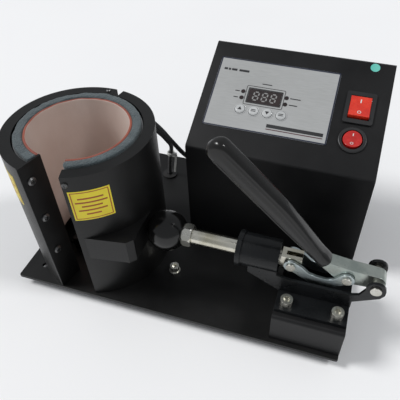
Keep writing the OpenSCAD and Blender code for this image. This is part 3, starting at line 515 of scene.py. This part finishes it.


# The lining is one strip of each material that runs across where the two halves hinge.
sponge_strip = lined_ring("sponge_strip", 43.05, 50.45, 20.2, 141.4, SLOT_RIGHT + 0.1, SLOT_LEFT - 0.1,
                          "sponge", 1.6, 0.7, 3.0, ("left_foam", "right_foam"))
mat_strip = lined_ring("heating_mat", 40.75, 42.95, 18.2, 140.7, SLOT_RIGHT + 0.2, SLOT_LEFT - 0.2,
                       "mat", 0.7, 0.25, 5.0, ("left_mat", "right_mat"))
for strip in (sponge_strip, mat_strip):
    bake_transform(strip)


# ---------------------------------------------------------------- labels on the sleeve
def wrap(name, r, a1, a2, z1, z2, mat, body, steps=10):
    verts, faces = [], []
    for i in range(steps + 1):
        a = radians(a1 + (a2 - a1) * i / steps)
        for z in (z1, z2):
            verts.append(AX + Vector((r * cos(a), r * sin(a), z)) / 1000)
    for i in range(steps):
        faces.append((2 * i, 2 * i + 2, 2 * i + 3, 2 * i + 1))
    piece(name, verts, faces, mat, body)


LABEL_R = 61.69


def label_marks(tag, a1, a2, z1, z2, body):
    """A plain border and a few short bars: a decorative pattern with no wording."""
    k = 180 / pi / LABEL_R
    near = 1.2
    far = 2.0
    borders = ((a1 + near * k, a2 - near * k, z1 + near, z1 + far),
               (a1 + near * k, a2 - near * k, z2 - far, z2 - near),
               (a1 + near * k, a1 + far * k, z1 + near, z2 - near),
               (a2 - far * k, a2 - near * k, z1 + near, z2 - near))
    for n, (b1, b2, y1, y2) in enumerate(borders):
        wrap(f"{tag}_border_{n}", LABEL_R, b1, b2, y1, y2, "label_ink", body)
    mid = (a1 + a2) / 2
    bars = ((0.62, 21.5), (0.78, 17.5), (0.5, 13.5), (0.7, 9.5), (0.36, 5.5))
    for n, (share, height) in enumerate(bars):
        half = share * (a2 - a1) / 2
        low = z1 + height
        wrap(f"{tag}_bar_{n}", LABEL_R, mid - half, mid + half, low, low + 1.5, "label_ink", body)


label_marks("front_label", -71, -42, 96, 126, "jaw")
label_marks("side_label", 215, 243, 96, 126, "base")

# ---------------------------------------------------------------- control panel
# u runs to the right along the panel, v up its slope and d out of its face, in millimetres
SLOPE = radians(27)
PX = Vector((1, 0, 0))
PV = Vector((0, cos(SLOPE), sin(SLOPE)))
PN = Vector((0, -sin(SLOPE), cos(SLOPE)))
P0 = at(134, 106, 105)


def on_panel(u, v, d=0.0):
    return P0 + (PX * u + PV * v + PN * d) / 1000


def flat_shape(name, points, d, mat, body, thick=0.12):
    n = len(points)
    verts = [on_panel(u, v, d) for u, v in points] + [on_panel(u, v, d + thick) for u, v in points]
    faces = [tuple(reversed(range(n))), tuple(range(n, 2 * n))]
    faces += [(k, (k + 1) % n, n + (k + 1) % n, n + k) for k in range(n)]
    piece(name, verts, faces, mat, body, smooth=False)


def bar(name, u1, v1, u2, v2, d, mat, body="base"):
    flat_shape(name, [(u1, v1), (u2, v1), (u2, v2), (u1, v2)], d, mat, body)


def circle(u, v, r, count):
    return [(u + r * cos(2 * pi * k / count), v + r * sin(2 * pi * k / count)) for k in range(count)]


def outline(name, u1, v1, u2, v2, r, w, d, mat, thick=0.1):
    """A rounded rectangular line."""
    corners = ((u2 - r, v2 - r, 0), (u1 + r, v2 - r, 90), (u1 + r, v1 + r, 180), (u2 - r, v1 + r, 270))

    def loop(inset):
        pts = []
        for cu, cv, s in corners:
            for k in range(7):
                a = radians(s + 15 * k)
                pts.append((cu + (r - inset) * cos(a), cv + (r - inset) * sin(a)))
        return pts
    a, b = loop(0), loop(w)
    n = len(a)
    verts = [on_panel(u, v, d) for u, v in a + b] + [on_panel(u, v, d + thick) for u, v in a + b]
    faces = []
    for k in range(n):
        j = (k + 1) % n
        faces.append((2 * n + k, 2 * n + j, 3 * n + j, 3 * n + k))
        faces.append((k, j, 2 * n + j, 2 * n + k))
        faces.append((n + j, n + k, 3 * n + k, 3 * n + j))
    piece(name, verts, faces, mat, "base", smooth=False)


# how far out of the panel's face the flat marks lie
INK_D = 0.38
LAMP_D = 0.47
DIGIT_D = 0.19
SIGN_D = 1.86

outline("overlay_border", 8.9, 24.6, 120.2, 97.0, 1.2, 1.2, INK_D, "blue_ink")
outline("window_line", 39.9, 50.6, 75.9, 70.5, 1.5, 0.55, INK_D, "ink")
outline("window_frame", 41.9, 52.7, 73.9, 68.4, 0.8, 0.8, INK_D, "ink", thick=0.25)

# plain printed dashes where the real overlay has wording: left, low, width, height, ink
DASHES = (
    (14, 83.5, 3.2, 2.2, "ink"), (18.2, 83.5, 2.0, 2.2, "ink"),
    (21.2, 83.5, 5.2, 2.2, "ink"), (28.4, 83.5, 9.5, 2.2, "ink"),
    (30.0, 62.8, 4.2, 0.9, "ink"), (30.0, 56.2, 4.2, 0.9, "ink"),
    (80.8, 63.0, 9.5, 0.9, "ink"), (81.0, 56.4, 7.5, 0.9, "ink"),
    (53, 73.4, 9.0, 0.9, "ink"),
    (66.2, 31.4, 50.0, 3.4, "ink"), (66.2, 29.4, 50.0, 0.8, "red_ink"),
)
for n, (u, v, w, h, ink) in enumerate(DASHES):
    bar(f"print_dash_{n}", u, v, u + w, v + h, INK_D, ink)

LAMPS = ((37.5, 63.4), (37.5, 56.8), (77.6, 63.4), (77.6, 56.8))
LAMP_SIDES = 24
for n, (u, v) in enumerate(LAMPS):
    points = circle(u, v, 2.1, LAMP_SIDES) + circle(u, v, 1.55, LAMP_SIDES)
    verts = [on_panel(a, b, LAMP_D) for a, b in points]
    faces = []
    for k in range(LAMP_SIDES):
        j = (k + 1) % LAMP_SIDES
        faces.append((k, j, LAMP_SIDES + j, LAMP_SIDES + k))
    piece(f"lamp_ring_{n}", verts, faces, "ink", "base", smooth=False)

# seven-segment digits behind the window's surface: each segment's two ends in a unit square
SEG = {"a": (0, 1, 1, 1), "g": (0, 0.5, 1, 0.5), "d": (0, 0, 1, 0), "f": (0, 0.5, 0, 1),
       "b": (1, 0.5, 1, 1), "e": (0, 0, 0, 0.5), "c": (1, 0, 1, 0.5)}
DIGIT_U = 47.4
DIGIT_V = 56.4
DIGIT_PITCH = 8.0
DIGIT_W = 4.4
DIGIT_H = 8.4
DIGIT_SLANT = 0.7
SEG_HALF = 0.6
SEG_GAP = 0.5
for n in range(3):
    for key in "abcdefg":
        u1, v1, u2, v2 = SEG[key]
        left = DIGIT_U + n * DIGIT_PITCH
        a = (left + u1 * DIGIT_W + v1 * DIGIT_SLANT, DIGIT_V + v1 * DIGIT_H)
        b = (left + u2 * DIGIT_W + v2 * DIGIT_SLANT, DIGIT_V + v2 * DIGIT_H)
        du, dv = b[0] - a[0], b[1] - a[1]
        ln = sqrt(du * du + dv * dv)
        du, dv = du / ln, dv / ln
        a = (a[0] + du * SEG_GAP, a[1] + dv * SEG_GAP)
        b = (b[0] - du * SEG_GAP, b[1] - dv * SEG_GAP)
        x, y = du * SEG_HALF, dv * SEG_HALF
        pts = [a, (a[0] + x + y, a[1] + y - x), (b[0] - x + y, b[1] - y - x),
               b, (b[0] - x - y, b[1] - y + x), (a[0] + x - y, a[1] + y + x)]
        flat_shape(f"digit_{n}_{key}", pts, DIGIT_D, "segment", "base", 0.05)

# signs on the push buttons: up, two bars, down, two bars; and the round rim of each button
BUTTON_U = 39.0
BUTTON_V = 45.0
BUTTON_PITCH = 12.5
RIM = ((5.55, 0.36), (5.45, 0.75), (5.1, 0.85), (4.86, 0.7), (4.84, 0.36))
for n in range(4):
    u = BUTTON_U + BUTTON_PITCH * n
    v = BUTTON_V
    body = f"button_{n + 1}"
    if n in (0, 2):
        s = 1 if n == 0 else -1
        arrow = [(u - 1.9, v - 1.2 * s), (u + 1.9, v - 1.2 * s), (u, v + 1.9 * s)][::s]
        flat_shape(f"button_sign_{n}", arrow, SIGN_D, "ink", body)
    else:
        bar(f"button_sign_{n}", u - 2.1, v + 0.35, u + 2.1, v + 1.05, SIGN_D, "ink", body)
        bar(f"button_sign_{n}_low", u - 2.1, v - 1.05, u + 2.1, v - 0.35, SIGN_D, "ink", body)
    rim = [[on_panel(a, b, d) for a, b in circle(u, v, r, 40)] for r, d in RIM]
    verts, faces = loft(rim, False)
    piece(f"button_rim_{n}", verts, faces, "button", "base")


# signs on the two red switches, on the tilted faces
TILT = radians(-7)


def paddle_point(switch, x, y, lift):
    """A point `lift` above a switch's hollowed face, x and y counted from its centre."""
    cu, cv, half, top = switch
    f = abs(y) / half
    z = top - 1.5 + (0.8 * f if f < 0.5 else 0.4 + 2.2 * (f - 0.5)) + lift
    return on_panel(cu + x, cv + y * cos(TILT) - z * sin(TILT), -3 + y * sin(TILT) + z * cos(TILT))


def paddle_bar(name, switch, x1, x2, y1, y2, body):
    ys = [y1 + (y2 - y1) * k / 6 for k in range(7)]
    verts = [paddle_point(switch, x, y, 0.12) for y in ys for x in (x1, x2)]
    faces = [(2 * k, 2 * k + 1, 2 * k + 3, 2 * k + 2) for k in range(6)]
    piece(name, verts, faces, "chalk", body)


def paddle_ring(name, switch, x, y, r, w, body):
    verts, faces = [], []
    for k in range(28):
        a = 2 * pi * k / 28
        for rr in (r, r - w):
            verts.append(paddle_point(switch, x + rr * cos(a), y + rr * sin(a), 0.14))
    for k in range(28):
        j = (k + 1) % 28
        faces.append((2 * k, 2 * j, 2 * j + 1, 2 * k + 1))
    piece(name, verts, faces, "chalk", body)


# centre u and v, half of the face's height, and its top above the pivot
ROCKER = (141.8, 64.8, 10.4, 6.4)
ROUND = (140.9, 33.6, 9.0, 5.6)
paddle_bar("rocker_bar_sign", ROCKER, -0.5, 0.5, 4.2, 7.6, "rocker")
paddle_ring("rocker_ring_sign", ROCKER, 0, -5.9, 1.7, 0.5, "rocker")
paddle_bar("round_bar_sign", ROUND, -0.4, 0.4, 3.2, 5.6, "round_rocker")
paddle_ring("round_ring_sign", ROUND, 0, -4.4, 1.4, 0.45, "round_rocker")


# ---------------------------------------------------------------- handle grip
def grip():
    """The dipped vinyl: rounded oblong sections along a line that bends once, with two grooves."""
    lo = Vector((272.7, 0, 73.2))
    mid = Vector((231, 0, 118.7))
    end = Vector((180.6, 0, 167.9))
    rings = []
    stations = [-0.02, 0.0, 0.03, 0.06] + [0.1 + 0.9 * k / 30 for k in range(31)]
    lower = (mid - lo).normalized()
    upper = (end - mid).normalized()
    w_low, w_top = 5.5, 9.4
    h_low, h_top = 6.6, 7.3
    tip_length = 8.0
    length1 = (mid - lo).length
    length2 = (end - mid).length
    total = length1 + length2
    n = 56
    for s in stations:
        d = s * total
        if d <= length1:
            p = lo + (mid - lo) * (d / length1)
        else:
            p = mid + (end - mid) * ((d - length1) / length2)
        if d > length1 * 1.2:
            t = upper
        else:
            t = lower.lerp(upper, max(0, d / length1 - 0.4)).normalized()
        side = Vector((t.z, 0, -t.x))
        f = min(1.0, d / length1) if d > 0 else 0
        w = w_low + (w_top - w_low) * (3 * f * f - 2 * f ** 3)
        h = h_low + (h_top - h_low) * f
        if s < 0.05:
            w += 0.4
            h = min(h + 0.2, 7.0)
        tip = (total - d) / tip_length
        if tip < 1:
            k = sqrt(max(0.0, 1 - (1 - tip) ** 2))
            w = w_top * (0.35 + 0.65 * k)
            h = h_top * (0.3 + 0.7 * k)
        groove = max(0.0, min(1.0, (s - 0.14) / 0.08)) * max(0.0, min(1.0, (0.93 - s) / 0.06))
        ring = []
        for k in range(n):
            a = 2 * pi * k / n
            c, sn = cos(a), sin(a)
            e = 2 / 3.2
            x = w * (abs(c) ** e) * (1 if c >= 0 else -1)
            y = h * (abs(sn) ** e) * (1 if sn >= 0 else -1)
            q = abs(x) / w
            dip = 0.0
            for cq in (0.32, 0.62):
                dip = max(dip, max(0.0, 1 - ((q - cq) / 0.13) ** 2))
            if abs(sn) > 0.45:
                y -= 0.5 * dip * groove * (1 if sn > 0 else -1)
            pos = p + side * x
            ring.append(at(pos.x, CLAMP_Y + y, pos.z))
        rings.append(ring)
    verts, faces = loft(rings)
    o = piece("grip_vinyl", verts, faces, "vinyl", "handle")
    sub = o.modifiers.new("smooth", "SUBSURF")
    sub.levels = 1
    sub.render_levels = 2
    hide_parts("handle_grip")


grip()


# ---------------------------------------------------------------- braided leads
def spline(points, per):
    out = []
    pts = [Vector(p) for p in points]
    for i in range(len(pts) - 1):
        a, b = pts[max(0, i - 1)], pts[i]
        c, d = pts[i + 1], pts[min(len(pts) - 1, i + 2)]
        for k in range(per):
            t = k / per
            square = (2 * a - 5 * b + 4 * c - d) * t * t
            cube = (3 * b - a - 3 * c + d) * t ** 3
            out.append(0.5 * ((2 * b) + (c - a) * t + square + cube))
    out.append(pts[-1])
    return out


def lead(name, points, cad, r=2.15, sides=16):
    """A braided lead along the given route points in millimetres, from the casing to where it goes into
    the press.
    """
    path = spline(points, 10)
    rings, uvs, run = [], [], 0.0
    t = (path[1] - path[0]).normalized()
    s = t.cross(Vector((0.2, 0.1, 1))).normalized()
    for i, p in enumerate(path):
        nxt = path[min(i + 1, len(path) - 1)] - path[max(i - 1, 0)]
        t = nxt.normalized()
        s = (s - t * s.dot(t)).normalized()
        b = t.cross(s)
        if i:
            run += (p - path[i - 1]).length
        rr = r * (1 + 0.03 * noise.noise(p * 0.4))
        ring = []
        for k in range(sides):
            a = 2 * pi * k / sides
            q = p + s * (rr * cos(a)) + b * (rr * sin(a))
            ring.append(at(q.x, q.y, q.z))
            uvs.append((run / (2 * pi * r), k / sides))
        rings.append(ring)
    verts, faces = loft(rings)
    o = piece(name, verts, faces, "braid", "base", uvs=uvs)
    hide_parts(cad)


ROUTE_A = [(76, 127.5, 112), (88, 129, 110), (100, 129, 101), (110, 130, 88), (119, 136, 70),
           (126, 146, 54), (131, 150, 48.4), (137, 150, 48)]
ROUTE_B = [(76, 127.5, 104), (87, 131, 101), (97, 135, 90), (100, 143, 76), (97, 156, 60), (91, 168, 42),
           (85, 175, 22), (83, 176, 6), (83, 176, -5)]
lead("braid_a", ROUTE_A, "lead_sleeve_a")
lead("braid_b", ROUTE_B, "lead_sleeve_b")

# ---------------------------------------------------------------- surroundings
floor_mesh = bpy.data.meshes.new("floor")
floor_mesh.from_pydata([(-20, -20, 0), (20, -20, 0), (20, 20, 0), (-20, 20, 0)], [], [(0, 1, 2, 3)])
floor = bpy.data.objects.new("floor", floor_mesh)
bpy.context.scene.collection.objects.link(floor)
fm = Mat("pale_floor", Roughness=0.85)
fm.color(fm.ramp(fm.noise(2.0, 3.0), [(0.3, (0.90, 0.90, 0.905)), (0.7, (0.93, 0.93, 0.935))]))
floor_mesh.materials.append(fm.mat)

world = bpy.data.worlds.new("studio")
world.use_nodes = True
world.node_tree.nodes["Background"].inputs["Color"].default_value = (0.93, 0.96, 1.0, 1)
world.node_tree.nodes["Background"].inputs["Strength"].default_value = 0.38
bpy.context.scene.world = world
bpy.context.scene.view_settings.view_transform = "Standard"


def sun(name, where, power, spread):
    """A broad soft light from far away, shining from `where` onto the press."""
    data = bpy.data.lights.new(name, "SUN")
    data.energy = power
    data.angle = radians(spread)
    o = bpy.data.objects.new(name, data)
    bpy.context.scene.collection.objects.link(o)
    o.rotation_euler = (-Vector(where)).to_track_quat("-Z", "Y").to_euler()


sun("window_light", (-1.0, -0.2, 1.15), 1.8, 18)
sun("room_light", (0.9, 0.1, 1.2), 0.75, 10)
